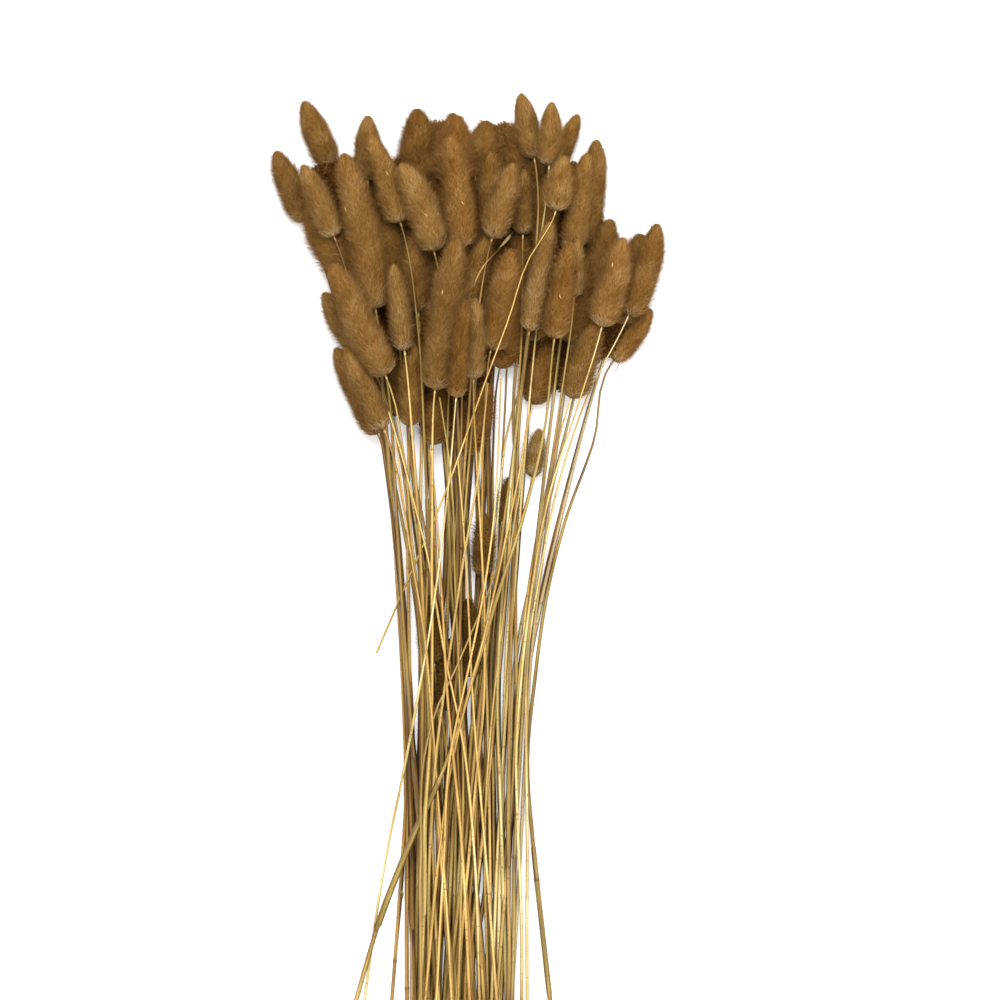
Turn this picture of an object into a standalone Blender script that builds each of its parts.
"""A bunch of dried bunny tail grass, laid down on a flat surface.

Metres, +Z up. The stems run along Y with their cut feet at -Y, and the seed heads fan out at +Y.
The surface is z = 0, and the origin is the middle of the bunch's box on that surface.
Each stalk is drawn in plan from its seed head's measured place. The stalks then settle on the
surface and on each other, from the back of the bunch to its front, until none crosses another.
"""

import math
import random
from collections import namedtuple

import bmesh
import bpy
import numpy as np
from mathutils import Vector

# Driving dimensions, in millimetres
MM = 0.001
LONGEST_HEAD = 70.0
STEM_RADIUS_AT_HEAD = 0.62
STEM_RADIUS_AT_FOOT = 1.02
FOOT_SPREAD = 40.0
GAP = 0.3
SPARE_GAP = 0.15
SPARE_SHARE = 0.02
NECK_GAP = 0.3
STEM_CLEARANCE = 0.25

# Points read from a front view of the bunch, in pixels, x to the right and y down
LONGEST_HEAD_PX = 155.0
MIDDLE_PX = 456.0
NECK_Y_PX = 705.0
NECK_LEFT_PX = 408.0
NECK_RIGHT_PX = 527.0
FOOT_Y_PX = 1004.0
FOOT_LEFT_PX = 417.0
FOOT_RIGHT_PX = 506.0
TO_MM = LONGEST_HEAD / LONGEST_HEAD_PX

# How finely things are drawn
HEAD_SIDES = 8
HEAD_RINGS = 9
STEM_SIDES = 5
STEM_RINGS = 9
STEPS_PER_POINT = 16
STEPS_TO_NECK = 12
SAMPLE_STEP = 2.0

# How far a stalk whose way can't be followed strays from its even place, as shares of the width
SHARE_SEED = 11
NECK_STRAY = 0.16
FOOT_STRAY = 0.35

# How such a stem bends from its head's direction into the neck's, as shares of its upper part
HEAD_PULL = 0.15
NECK_PULL = 0.25
LEAST_UPPER_PART = 30.0

# Where the stalks start before they settle, in millimetres, the rearmost lowest
FOOT_HEIGHT = 1.5
FOOT_RISE = 12.0
HEAD_HEIGHT = 4.0
HEAD_RISE = 48.0
RISE_FROM = 80.0
RISE_TO = 330.0

# How the stalks settle on each other, in passes, millimetres and shares of a move
SETTLING_PASSES = 420
JOINING_PASSES = 400
SPREADING_PASSES = 400
SETTLING_WEIGHT = 0.25
JOINING_WEIGHT = 0.12
STIFFNESS_AT_FIRST = 0.3
STIFFNESS_AT_LAST = 0.2
HEAD_FIRMNESS = 0.3
HEAD_HOLD = 0.35
STEM_HOLD = 0.3
PUSH = 0.9
LIFT = 0.6
CROSSING_BIAS = 0.5
TINY = 1e-6

# How pieces past the limit on nodes are joined
MOST_NODES = 60
MOST_STEMS_JOINED = 34
JOINED_DEPTH = 0.74
JOINED_REACH = 30.0
JOINING_PULL = 12.0
FURTHEST_JOIN = 30.0
TOUCHING = 1.45

# A head rests on a belly this share of its half width under its middle line
BELLY = 0.78

# Spikelets: depth as a share of the head's half width, lean as a share of its length
SPIKELET_DEPTH = 0.14
SPIKELET_LEAN = 0.028
LEAN_SPREAD = (0.6, 1.2)

# Finishes
SHARP_ANGLE = math.radians(50)
HEAD_COLOUR = (0.262, 0.141, 0.048)
HEAD_ROUGHNESS = 0.9
STEM_COLOUR = (0.546, 0.336, 0.095)
STEM_ROUGHNESS = 0.6

# Seed head: tip and base in pixels, width and sideways bow in millimetres, depth 3 at the back
Head = namedtuple("Head", "number tip base width bow depth")
HEADS = [
    Head(1, (301, 102), (325, 166), 12.5, 0.0, 1),
    Head(2, (276, 152), (319, 222), 10.5, -0.6, 2),
    Head(3, (307, 168), (339, 239), 12.5, 0.5, 0),
    Head(4, (339, 157), (375, 311), 16.0, 1.5, 0),
    Head(5, (368, 118), (369, 182), 12.5, 0.0, 1),
    Head(6, (375, 139), (404, 225), 12.5, 0.0, 0),
    Head(7, (396, 169), (434, 254), 15.0, 2.2, 0),
    Head(8, (417, 110), (420, 190), 15.5, 0.0, 2),
    Head(9, (438, 114), (444, 185), 12.5, 0.0, 2),
    Head(10, (459, 119), (456, 186), 15.0, 0.0, 2),
    Head(11, (447, 142), (457, 250), 14.0, 0.8, 0),
    Head(12, (458, 242), (438, 392), 15.5, 0.0, 0),
    Head(13, (464, 305), (455, 400), 11.0, 0.0, 1),
    Head(14, (478, 303), (475, 381), 10.0, 0.0, 0),
    Head(15, (508, 252), (488, 352), 16.0, 1.0, 1),
    Head(16, (512, 168), (492, 241), 13.0, 0.0, 0),
    Head(17, (485, 155), (487, 226), 12.0, 0.0, 1),
    Head(18, (493, 122), (481, 196), 16.5, 0.0, 2),
    Head(19, (520, 96), (533, 160), 12.5, 0.0, 0),
    Head(20, (549, 106), (546, 168), 12.0, 0.0, 0),
    Head(21, (575, 115), (553, 166), 9.0, 0.0, 1),
    Head(22, (588, 156), (574, 251), 12.5, 0.0, 0),
    Head(23, (600, 141), (588, 248), 12.0, 0.8, 1),
    Head(24, (577, 243), (574, 299), 10.0, 0.0, 0),
    Head(25, (566, 160), (557, 214), 13.0, 0.0, 0),
    Head(26, (530, 172), (527, 236), 9.0, 0.0, 1),
    Head(27, (548, 226), (528, 333), 11.5, 0.0, 0),
    Head(28, (568, 246), (551, 341), 12.5, 0.0, 1),
    Head(29, (533, 285), (524, 345), 11.5, 0.0, 2),
    Head(30, (546, 342), (530, 406), 12.0, 0.0, 2),
    Head(31, (594, 322), (568, 400), 13.5, 0.0, 1),
    Head(32, (622, 241), (600, 329), 14.5, 0.0, 0),
    Head(33, (656, 226), (626, 317), 13.0, 1.5, 1),
    Head(34, (645, 311), (606, 362), 10.5, 0.5, 1),
    Head(35, (602, 221), (592, 300), 12.5, 0.0, 2),
    Head(36, (335, 268), (387, 378), 16.0, 0.0, 0),
    Head(37, (327, 295), (376, 364), 12.0, 0.0, 1),
    Head(38, (338, 350), (380, 436), 11.5, 0.0, 1),
    Head(39, (349, 352), (385, 431), 12.0, 0.0, 0),
    Head(40, (395, 268), (406, 353), 11.0, 0.0, 0),
    Head(41, (409, 240), (416, 314), 12.5, 0.0, 1),
    Head(42, (402, 231), (438, 296), 10.5, 0.0, 1),
    Head(43, (421, 345), (414, 428), 11.0, 0.0, 1),
    Head(44, (482, 386), (457, 456), 12.5, 0.0, 2),
    Head(45, (437, 390), (431, 447), 9.0, 0.0, 3),
    Head(46, (529, 431), (523, 479), 8.0, 0.0, 2),
    Head(47, (521, 480), (513, 525), 6.5, 0.0, 3),
    Head(48, (486, 516), (484, 578), 6.5, 0.0, 3),
    Head(49, (354, 160), (378, 252), 14.0, 0.0, 2),
    Head(50, (384, 178), (399, 237), 10.5, 0.0, 2),
    Head(51, (311, 200), (352, 283), 13.0, 0.0, 2),
    Head(52, (492, 240), (461, 317), 12.5, 0.0, 1),
    Head(53, (545, 176), (541, 250), 10.5, 0.0, 1),
    Head(54, (517, 300), (501, 370), 10.0, 0.0, 3),
    Head(55, (523, 116), (514, 184), 12.0, 0.0, 2),
    Head(56, (634, 236), (612, 325), 14.0, 0.0, 3),
    Head(57, (588, 258), (575, 345), 12.0, 0.0, 3),
    Head(58, (519, 232), (508, 320), 12.0, 0.0, 3),
    Head(59, (474, 188), (466, 268), 13.0, 0.0, 2),
    Head(60, (386, 212), (396, 300), 13.0, 0.0, 3),
    Head(61, (431, 288), (428, 366), 12.0, 0.0, 3),
    Head(62, (374, 358), (394, 418), 10.0, 0.0, 3),
    Head(63, (434, 598), (438, 665), 8.0, 0.0, 3),
    Head(64, (447, 642), (446, 714), 8.0, 0.0, 3),
    Head(65, (471, 602), (472, 680), 7.5, 0.0, 3),
    Head(66, (541, 142), (537, 216), 11.0, 0.0, 3),
    Head(67, (432, 168), (440, 244), 11.0, 0.0, 3),
    Head(68, (500, 222), (493, 300), 11.0, 0.0, 3),
]

# Stems whose way down can be followed in the view, in pixels from just under the head
ROUTES = {
    2: [(324, 231), (348, 278), (374, 350), (393, 450), (405, 600), (412, 720), (420, 1010)],
    13: [(454, 408), (446, 500), (427, 640), (403, 773), (388, 845), (374, 930), (363, 1012)],
    25: [(553, 219), (530, 258), (500, 340), (470, 428), (437, 518), (401, 602), (378, 656)],
    28: [(549, 352), (545, 420), (525, 510), (490, 620), (462, 718), (435, 793), (390, 893), (354, 1010)],
    31: [(566, 408), (555, 450), (539, 520), (529, 600), (521, 705), (508, 850), (497, 1012)],
    32: [(598, 337), (590, 358), (570, 430), (554, 480), (540, 530), (530, 610), (515, 760), (523, 1010)],
    33: [(620, 326), (605, 350), (582, 410), (556, 490), (540, 560), (524, 680), (526, 758), (526, 1015)],
    34: [(602, 372), (590, 440), (560, 530), (546, 590), (533, 680), (528, 770), (534, 850), (551, 1010)],
    38: [(382, 444), (391, 500), (398, 600), (403, 700), (406, 800), (400, 895), (391, 1010)],
}

# Stalks that lie over all the others, the highest last
FRONT_STALKS = (13, 28, 33, 25)


def profile(along):
    """Half width of a seed head as a share of its widest, from its base at 0 to its tip at 1."""
    places = (0.0, 0.05, 0.14, 0.3, 0.5, 0.7, 0.85, 0.95, 1.0)
    widths = (0.3, 0.6, 0.86, 1.0, 1.0, 0.9, 0.7, 0.42, 0.12)
    return float(np.interp(along, places, widths))


def stem_radius(along):
    """Radius of a stem, from its foot at 0 to its head at 1."""
    return STEM_RADIUS_AT_FOOT + (STEM_RADIUS_AT_HEAD - STEM_RADIUS_AT_FOOT) * along


def plan_point(pixel):
    """A point of the front view as (x, y) in millimetres, y up the bunch."""
    return np.array([(pixel[0] - MIDDLE_PX) * TO_MM, (FOOT_Y_PX - pixel[1]) * TO_MM])


def smooth_line(points, count):
    """Evenly spaced points on a smooth line through the given ones."""
    points = np.array(points, float)
    padded = np.vstack([2 * points[0] - points[1], points, 2 * points[-1] - points[-2]])
    fine = []
    for k in range(1, len(padded) - 2):
        before, start, end, after = padded[k - 1:k + 3]
        for t in np.linspace(0, 1, STEPS_PER_POINT, endpoint=False):
            fine.append(0.5 * (2 * start + (end - before) * t
                               + (2 * before - 5 * start + 4 * end - after) * t * t
                               + (3 * start - before - 3 * end + after) * t ** 3))
    fine.append(points[-1])
    fine = np.array(fine)
    along = np.concatenate([[0], np.cumsum(np.linalg.norm(np.diff(fine, axis=0), axis=1))])
    wanted = np.linspace(0, along[-1], count)
    return np.column_stack([np.interp(wanted, along, fine[:, axis]) for axis in range(2)])


def bend_between(start, first, second, end, t):
    """A point of the curve that leaves start towards first and reaches end from second."""
    return ((1 - t) ** 3 * start + 3 * (1 - t) ** 2 * t * first
            + 3 * (1 - t) * t * t * second + t ** 3 * end)


def even_shares():
    """Each stalk's place across the neck and across the feet, and how far its foot reaches down."""
    draw = random.Random(SHARE_SEED)
    ranked = sorted(HEADS, key=lambda head: head.base[0])
    shares = {}
    for rank, head in enumerate(ranked):
        even = rank / (len(ranked) - 1)
        neck = min(max(even + draw.uniform(-NECK_STRAY, NECK_STRAY), 0.0), 1.0)
        foot = min(max(neck + draw.uniform(-FOOT_STRAY, FOOT_STRAY), 0.0), 1.0)
        shares[head.number] = (neck, foot, draw.uniform(0.0, 1.0))
    return shares


def stem_plan(head, shares):
    """The stem's line in plan, from just under its head to its cut foot."""
    tip = plan_point(head.tip)
    base = plan_point(head.base)
    axis = (tip - base) / np.linalg.norm(tip - base)
    start = base - axis * NECK_GAP
    if head.number in ROUTES:
        return smooth_line([start] + [plan_point(pixel) for pixel in ROUTES[head.number]], STEM_RINGS)
    neck_share, foot_share, length_share = shares
    neck = plan_point((NECK_LEFT_PX + neck_share * (NECK_RIGHT_PX - NECK_LEFT_PX), NECK_Y_PX))
    foot = plan_point((FOOT_LEFT_PX + foot_share * (FOOT_RIGHT_PX - FOOT_LEFT_PX), FOOT_Y_PX))
    foot[1] -= length_share * FOOT_SPREAD
    if start[1] < neck[1] + LEAST_UPPER_PART:
        neck = foot + (start - foot) * 0.5
    rise = start[1] - neck[1]
    lean = (neck - foot) / np.linalg.norm(neck - foot)
    first = start - axis * HEAD_PULL * rise
    second = neck + lean * NECK_PULL * rise
    upper = [bend_between(start, first, second, neck, t) for t in np.linspace(0, 1, STEPS_TO_NECK)]
    return smooth_line(upper + [(neck + foot) / 2, foot], STEM_RINGS)


class Stalk:
    """One stalk as a line through a few bend points: the foot, up the stem, the head's middle, its tip."""

    def __init__(self, head, shares):
        tip = plan_point(head.tip)
        base = plan_point(head.base)
        across = np.array([tip[1] - base[1], base[0] - tip[0]]) / np.linalg.norm(tip - base)
        middle = (base + tip) / 2 + across * head.bow
        self.head = head
        self.bends = np.vstack([stem_plan(head, shares)[::-1], middle, tip])
        self.base = base

    def samples(self):
        """Heights up the bunch with, for each, the bend below it, the way to the next and the radius."""
        levels = self.bends[:, 1]
        stations = np.arange(math.ceil(levels[0] / SAMPLE_STEP), math.floor(levels[-1] / SAMPLE_STEP) + 1)
        y = stations * SAMPLE_STEP
        below = np.clip(np.searchsorted(levels, y, side="right") - 1, 0, len(levels) - 2)
        way = (y - levels[below]) / (levels[below + 1] - levels[below])
        stem = stem_radius((y - levels[0]) / (self.base[1] - levels[0]))
        share = (y - self.base[1]) / (levels[-1] - self.base[1])
        in_head = share >= 0
        head = np.array([self.head.width / 2 * profile(max(place, 0.0)) for place in share])
        return stations, below, way, np.where(in_head, head, stem), in_head


class Bunch:
    """All the stalks' bend points and samples in arrays, and the rules that settle them."""

    def __init__(self, stalks):
        self.stalks = stalks
        sizes = [len(stalk.bends) for stalk in stalks]
        self.start = np.concatenate([[0], np.cumsum(sizes)])[:-1]
        self.plan = np.vstack([stalk.bends for stalk in stalks])
        self.x = self.plan[:, 0].copy()
        self.z = np.zeros(len(self.x))
        parts = []
        for index, stalk in enumerate(stalks):
            station, below, way, radius, in_head = stalk.samples()
            owner = np.full(len(station), index)
            parts.append((station, below + self.start[index], way, radius, in_head, owner))
        joined = [np.concatenate(values) for values in zip(*parts)]
        self.station, self.bend, self.way, self.radius, self.in_head, self.owner = joined
        self.rise = self.plan[self.bend + 1, 1] - self.plan[self.bend, 1]
        self.floor = np.where(self.in_head, self.radius * BELLY, self.radius + STEM_CLEARANCE)
        self.hold = np.full(len(self.x), STEM_HOLD)
        for index in range(len(stalks)):
            last = self.start[index] + len(stalks[index].bends)
            self.hold[last - 3:last] = HEAD_HOLD
        self.joins = []
        self.pair_up()
        self.rank_by_depth()

    def pair_up(self):
        """Every two samples of different stalks at one height up the bunch."""
        first, second = [], []
        for level in np.unique(self.station):
            here = np.flatnonzero(self.station == level)
            a, b = np.triu_indices(len(here), 1)
            first.append(here[a])
            second.append(here[b])
        self.first = np.concatenate(first)
        self.second = np.concatenate(second)
        both = self.radius[self.first] + self.radius[self.second]
        self.reach = both * (1 + SPARE_SHARE) + GAP + SPARE_GAP

    def rank_by_depth(self):
        """Ranks the stalks from the back to the front, and spreads them in height by their rank."""
        def place(head):
            front = FRONT_STALKS.index(head.number) + 1 if head.number in FRONT_STALKS else 0
            return (front, -head.depth, head.base[1])
        order = [head.number for head in sorted(HEADS, key=place)]
        self.rank = np.array([order.index(stalk.head.number) for stalk in self.stalks])
        for index, stalk in enumerate(self.stalks):
            rank = self.rank[index] / (len(HEADS) - 1)
            foot = FOOT_HEIGHT + FOOT_RISE * rank
            head = HEAD_HEIGHT + HEAD_RISE * rank
            y = stalk.bends[:, 1]
            way = np.clip((y - RISE_FROM) / (RISE_TO - RISE_FROM), 0, 1)
            start = self.start[index]
            self.z[start:start + len(y)] = foot + (head - foot) * way

    def at_samples(self, values):
        """Values of the bend points carried over to the samples between them."""
        return values[self.bend] * (1 - self.way) + values[self.bend + 1] * self.way

    def offsets(self):
        """Sideways and upward offset of each pair, and its true distance, the lean of both allowed for."""
        x = self.at_samples(self.x)
        z = self.at_samples(self.z)
        lean_x = (self.x[self.bend + 1] - self.x[self.bend]) / self.rise
        lean_z = (self.z[self.bend + 1] - self.z[self.bend]) / self.rise
        dx = x[self.second] - x[self.first]
        dz = z[self.second] - z[self.first]
        mean_x = (lean_x[self.first] + lean_x[self.second]) / 2
        mean_z = (lean_z[self.first] + lean_z[self.second]) / 2
        along = (dx * mean_x + dz * mean_z) ** 2 / (1 + mean_x ** 2 + mean_z ** 2)
        return dx, dz, np.sqrt(np.maximum(dx ** 2 + dz ** 2 - along, TINY ** 2))

    def push(self, moves, samples, dx, dz, load=1.0):
        """Adds a move of some samples to the bend points that carry them, in moves of x, z and load."""
        for share, bend in ((1 - self.way, self.bend), (self.way, self.bend + 1)):
            weight = share[samples]
            np.add.at(moves[0], bend[samples], weight * dx)
            np.add.at(moves[1], bend[samples], weight * dz)
            np.add.at(moves[2], bend[samples], weight * load)

    def keep_apart(self, joined):
        """Pushes samples that lie too close apart and joined ones together; returns the worst shortfall."""
        dx, dz, distance = self.offsets()
        wanted = self.reach - distance
        pressed = np.flatnonzero((wanted > 0) & ~joined)
        over = self.rank[self.owner[self.second[pressed]]] > self.rank[self.owner[self.first[pressed]]]
        rise = dz[pressed] + np.where(over, CROSSING_BIAS, -CROSSING_BIAS)
        length = np.maximum(np.hypot(dx[pressed], rise), TINY)
        half = wanted[pressed] / 2
        push_x = dx[pressed] / length * half
        push_z = rise / length * half
        moves = np.zeros((3, len(self.x)))
        self.push(moves, self.first[pressed], -push_x, -push_z)
        self.push(moves, self.second[pressed], push_x, push_z)
        x = self.at_samples(self.x)
        z = self.at_samples(self.z)
        for first, second, reach in self.joins:
            gap_x = x[second] - x[first]
            gap_z = z[second] - z[first]
            apart = max(math.hypot(gap_x, gap_z), TINY)
            pull = (apart - reach) / apart / 2 * JOINING_PULL
            self.push(moves, np.array([first]), pull * gap_x, pull * gap_z, JOINING_PULL)
            self.push(moves, np.array([second]), -pull * gap_x, -pull * gap_z, JOINING_PULL)
        load = np.maximum(moves[2], 1.0)
        self.x += PUSH * moves[0] / load
        self.z += PUSH * moves[1] / load
        return wanted[pressed].max(initial=0.0)

    def straighten(self, strength):
        """Draws each bend point towards its neighbours' line, and keeps each head's middle on its axis."""
        for values, target in ((self.z, np.zeros(len(self.z))), (self.x, self.plan[:, 0])):
            shift = values - target
            for index, stalk in enumerate(self.stalks):
                part = slice(self.start[index], self.start[index] + len(stalk.bends))
                line = shift[part]
                y = self.plan[part, 1]
                way = (y[1:-1] - y[:-2]) / (y[2:] - y[:-2])
                line[1:-1] += strength * (line[:-2] * (1 - way) + line[2:] * way - line[1:-1])
                lean = (line[-3] - line[-4]) / (y[-3] - y[-4])
                in_line = line[-3] + lean * (y[-1] - y[-3])
                line[-1] += HEAD_FIRMNESS * strength * (in_line - line[-1])
                line[-2] = line[-3] + (line[-1] - line[-3]) * (y[-2] - y[-3]) / (y[-1] - y[-3])
                values[part] = line + target[part]

    def stand_on_surface(self):
        """Lifts what lies below the surface."""
        short = self.floor - self.at_samples(self.z)
        low = np.flatnonzero(short > 0)
        for share, bend in ((1 - self.way, self.bend), (self.way, self.bend + 1)):
            lift = np.zeros(len(self.z))
            np.maximum.at(lift, bend[low], short[low] * np.minimum(share[low] * 2, 1.0))
            self.z += lift * LIFT

    def settle(self, passes, weight):
        """Lets the stalks sink and spread under a weight that fades, then only clears what still touches."""
        joined = self.joined_pairs()
        for count in range(passes):
            left = 1 - count / passes
            self.z -= weight * left
            self.x += (self.plan[:, 0] - self.x) * self.hold * left
            self.straighten(STIFFNESS_AT_FIRST * left + STIFFNESS_AT_LAST)
            self.stand_on_surface()
            self.keep_apart(joined)
        for _ in range(SPREADING_PASSES):
            self.straighten(0.0)
            self.stand_on_surface()
            worst = self.keep_apart(joined)
        print("closest pair after settling is short of its gap by", round(worst, 3), "mm")

    def joined_pairs(self):
        """Which pairs of samples lie where their stalks are joined, so may overlap."""
        joined = np.zeros(len(self.first), bool)
        for first, second, _ in self.joins:
            one = self.owner[self.first] == self.owner[first]
            other = self.owner[self.second] == self.owner[second]
            near = np.abs(self.station[self.first] - self.station[first]) * SAMPLE_STEP < JOINED_REACH
            joined |= one & other & near & self.of_kind(self.in_head[first])
        return joined

    def of_kind(self, in_head):
        """Which pairs lie both in heads, or both in stems."""
        return (self.in_head[self.first] == in_head) & (self.in_head[self.second] == in_head)

    def closest(self, in_head):
        """For each two stalks, their closest pair of samples: (slack, first, second), closest first."""
        slack = self.offsets()[2] - self.radius[self.first] - self.radius[self.second]
        slack = np.where(self.of_kind(in_head), slack, np.inf)
        stalks = self.owner[self.first] * len(self.stalks) + self.owner[self.second]
        order = np.argsort(slack, kind="stable")
        _, where = np.unique(stalks[order], return_index=True)
        best = order[where]
        best = best[slack[best] < FURTHEST_JOIN]
        best = best[np.argsort(slack[best], kind="stable")]
        return [(float(slack[pair]), int(self.first[pair]), int(self.second[pair])) for pair in best]

    def join(self, first, second):
        """Has two stalks lie one in the other at these samples."""
        self.joins.append((first, second, (self.radius[first] + self.radius[second]) * JOINED_DEPTH))

    def join_stems(self):
        """Joins stems where they pass closest, into groups, and returns each stalk's group."""
        group = list(range(len(self.stalks)))
        for _, first, second in self.closest(False):
            a, b = group[self.owner[first]], group[self.owner[second]]
            if a != b and group.count(a) + group.count(b) <= MOST_STEMS_JOINED:
                self.join(first, second)
                group = [a if member == b else member for member in group]
        return group

    def join_heads(self, count):
        """Joins the rearmost heads in twos where they touch, and returns the twos."""
        touching = []
        for slack, first, second in self.closest(True):
            a, b = self.stalks[self.owner[first]].head, self.stalks[self.owner[second]].head
            if slack < TOUCHING and min(a.depth, b.depth) >= 1:
                touching.append((-(a.depth + b.depth), first, second, a.number, b.number))
        pairs = []
        for _, first, second, a, b in sorted(touching):
            if len(pairs) < count and not any({a, b} & set(pair) for pair in pairs):
                self.join(first, second)
                pairs.append((a, b))
        return pairs

    def line(self, index):
        """The settled bend points of one stalk, in millimetres."""
        part = slice(self.start[index], self.start[index] + len(self.stalks[index].bends))
        return np.column_stack([self.x[part], self.plan[part, 1], self.z[part]])


def head_shape(name, line, width, seed):
    """A seed head: a ball drawn out along its line, its spikelets raised on it in staggered rows."""
    base, middle, tip = [Vector(point) for point in line]
    mesh = bmesh.new()
    bmesh.ops.create_uvsphere(mesh, u_segments=HEAD_SIDES, v_segments=HEAD_RINGS, radius=1.0)
    draw = random.Random(seed)
    for vert in mesh.verts:
        ring = round(math.acos(max(-1.0, min(1.0, -vert.co.z))) / math.pi * HEAD_RINGS)
        side = round(math.atan2(vert.co.y, vert.co.x) / math.tau * HEAD_SIDES) % HEAD_SIDES
        at_pole = ring in (0, HEAD_RINGS)
        raised = (ring + side) % 2 == 0 or at_pole
        share = 0.5 - 0.5 * math.cos(math.pi * ring / HEAD_RINGS)
        if not at_pole:
            share += (SPIKELET_LEAN if raised else -SPIKELET_LEAN) * draw.uniform(*LEAN_SPREAD)
        share = max(0.0, min(1.0, share))
        chord = (base + tip) / 2
        centre = base * (1 - share) ** 2 + tip * share ** 2 + (middle * 2 - chord) * 2 * share * (1 - share)
        tangent = ((tip - base) * 0.5 + (middle - chord) * 2 * (1 - 2 * share)).normalized()
        across = tangent.cross(Vector((0, 0, 1))).normalized()
        above = across.cross(tangent)
        angle = -math.tau * (side + 0.5) / HEAD_SIDES
        radius = 0.0 if at_pole else width / 2 * profile(share)
        if not raised:
            radius *= 1 - SPIKELET_DEPTH
        point = centre + across * (radius * math.cos(angle)) + above * (radius * math.sin(angle))
        point.z = max(point.z, 0.0)
        vert.co = point * MM
    data = bpy.data.meshes.new(name)
    mesh.to_mesh(data)
    mesh.free()
    data.shade_smooth()
    return bpy.data.objects.new(name, data)


def stem_shape(name, line, outline):
    """A stem: a line swept with a small outline, thicker at its foot, its ends capped."""
    curve = bpy.data.curves.new(name, "CURVE")
    curve.dimensions = "3D"
    curve.bevel_mode = "OBJECT"
    curve.bevel_object = outline
    curve.use_fill_caps = True
    spline = curve.splines.new("POLY")
    spline.points.add(len(line) - 1)
    length = line[-1][1] - line[0][1]
    for point, place in zip(spline.points, line):
        point.co = (*(coordinate * MM for coordinate in place), 1.0)
        point.radius = stem_radius((place[1] - line[0][1]) / length) * MM
    swept = bpy.data.objects.new(name, curve)
    bpy.context.scene.collection.objects.link(swept)
    bpy.context.view_layer.update()
    graph = bpy.context.evaluated_depsgraph_get()
    data = bpy.data.meshes.new_from_object(swept.evaluated_get(graph))
    bpy.data.objects.remove(swept)
    mesh = bmesh.new()
    mesh.from_mesh(data)
    bmesh.ops.remove_doubles(mesh, verts=mesh.verts, dist=TINY)
    bmesh.ops.recalc_face_normals(mesh, faces=mesh.faces)
    mesh.to_mesh(data)
    mesh.free()
    data.name = name
    data.shade_smooth()
    data.set_sharp_from_angle(angle=SHARP_ANGLE)
    return bpy.data.objects.new(name, data)


def stem_outline():
    """The small closed outline that every stem is swept with, of radius 1."""
    curve = bpy.data.curves.new("stem_outline", "CURVE")
    curve.dimensions = "2D"
    spline = curve.splines.new("POLY")
    spline.points.add(STEM_SIDES - 1)
    for side, point in enumerate(spline.points):
        angle = math.tau * side / STEM_SIDES
        point.co = (math.cos(angle), math.sin(angle), 0.0, 1.0)
    spline.use_cyclic_u = True
    outline = bpy.data.objects.new("stem_outline", curve)
    bpy.context.scene.collection.objects.link(outline)
    outline.hide_render = True
    outline.display_type = "WIRE"
    return outline


def fused(name, shapes, collection, material):
    """One object made of the shapes joined by a union."""
    whole = shapes[0]
    whole.name = name
    whole.data.name = name
    collection.objects.link(whole)
    if len(shapes) > 1:
        others = bpy.data.collections.new(name + "_others")
        bpy.context.scene.collection.children.link(others)
        for shape in shapes[1:]:
            others.objects.link(shape)
        union = whole.modifiers.new("Union", "BOOLEAN")
        union.operation = "UNION"
        union.operand_type = "COLLECTION"
        union.collection = others
        union.solver = "EXACT"
        bpy.context.view_layer.update()
        graph = bpy.context.evaluated_depsgraph_get()
        joined = bpy.data.meshes.new_from_object(whole.evaluated_get(graph))
        whole.modifiers.clear()
        whole.data = joined
        joined.name = name
        for shape in list(others.objects):
            bpy.data.objects.remove(shape)
        bpy.data.collections.remove(others)
    whole.data.materials.clear()
    whole.data.materials.append(material)
    return whole


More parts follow.
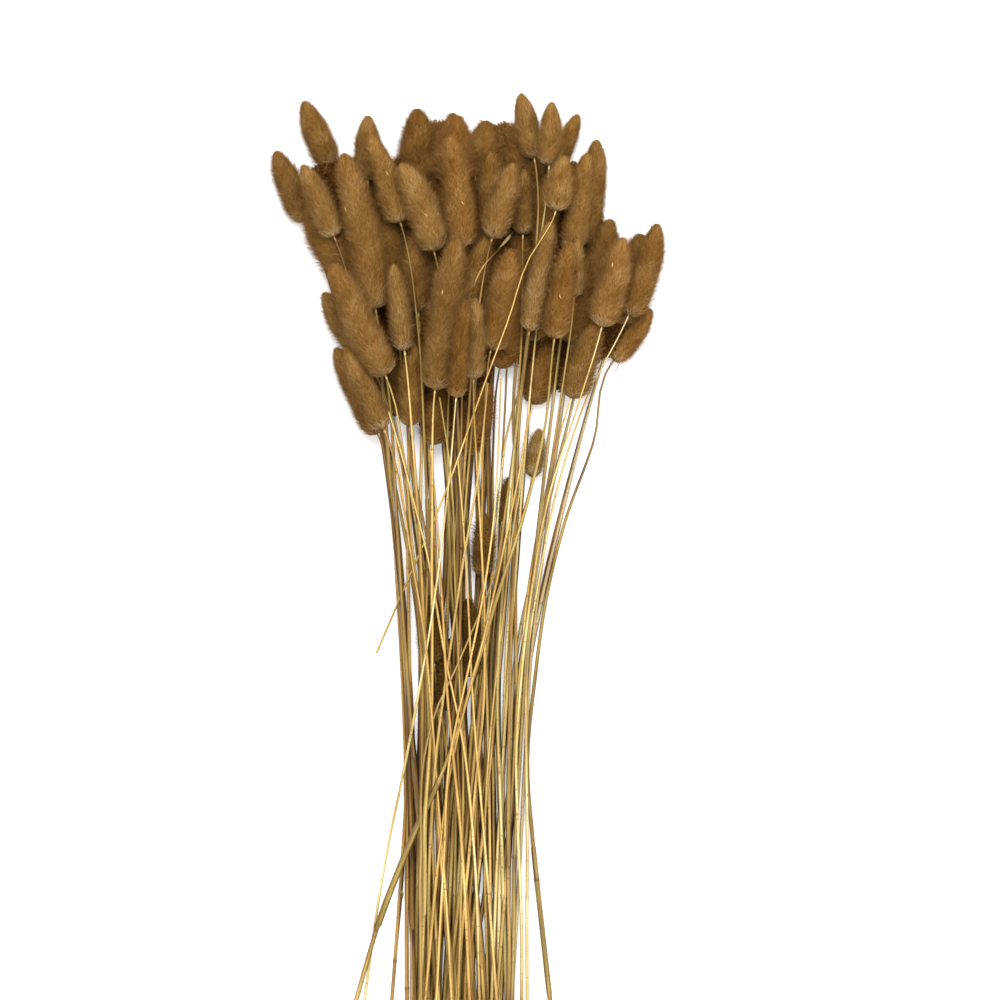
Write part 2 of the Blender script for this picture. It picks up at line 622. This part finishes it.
def plain_material(name, colour, roughness):
    """A dull finish of one colour."""
    material = bpy.data.materials.new(name)
    material.use_nodes = True
    surface = material.node_tree.nodes["Principled BSDF"]
    surface.inputs["Base Color"].default_value = (*colour, 1.0)
    surface.inputs["Roughness"].default_value = roughness
    surface.inputs["Metallic"].default_value = 0.0
    return material


def centre_on_origin(objects):
    """Moves every mesh so that the middle of the whole bunch's box stands over the origin."""
    corners = np.array([vert.co for thing in objects for vert in thing.data.vertices])
    low, high = corners.min(axis=0), corners.max(axis=0)
    shift = Vector((-(low[0] + high[0]) / 2, -(low[1] + high[1]) / 2, -low[2]))
    for thing in objects:
        for vert in thing.data.vertices:
            vert.co += shift


def build():
    """Settles the stalks, shapes their heads and stems, and joins those past the limit on nodes."""
    for old in list(bpy.data.objects):
        bpy.data.objects.remove(old, do_unlink=True)
    collection = bpy.data.collections.new("bunny_tail_bunch")
    bpy.context.scene.collection.children.link(collection)
    brown = plain_material("seed_head", HEAD_COLOUR, HEAD_ROUGHNESS)
    straw = plain_material("stem", STEM_COLOUR, STEM_ROUGHNESS)

    shares = even_shares()
    bunch = Bunch([Stalk(head, shares[head.number]) for head in HEADS])
    bunch.settle(SETTLING_PASSES, SETTLING_WEIGHT)
    groups = bunch.join_stems()
    pairs = bunch.join_heads(len(HEADS) + len(set(groups)) - MOST_NODES)
    bunch.settle(JOINING_PASSES, JOINING_WEIGHT)

    heads, stems = {}, {}
    outline = stem_outline()
    for index, stalk in enumerate(bunch.stalks):
        number = stalk.head.number
        line = bunch.line(index)
        neck, middle, tip = line[-3:]
        base = neck + (middle - neck) / np.linalg.norm(middle - neck) * NECK_GAP
        heads[number] = head_shape(f"head_{number:02d}", [base, middle, tip], stalk.head.width, number)
        stems[number] = stem_shape(f"stem_{number:02d}", line[:-2], outline)
    bpy.data.objects.remove(outline)

    made = []
    for a, b in pairs:
        made.append(fused(f"heads_{a:02d}_{b:02d}", [heads.pop(a), heads.pop(b)], collection, brown))
    for number, shape in sorted(heads.items()):
        made.append(fused(shape.name, [shape], collection, brown))
    for place, group in enumerate(sorted(set(groups)), 1):
        shapes = [stems[stalk.head.number] for stalk, own in zip(bunch.stalks, groups) if own == group]
        made.append(fused(f"stems_{place}", shapes, collection, straw))
    centre_on_origin(made)


build()
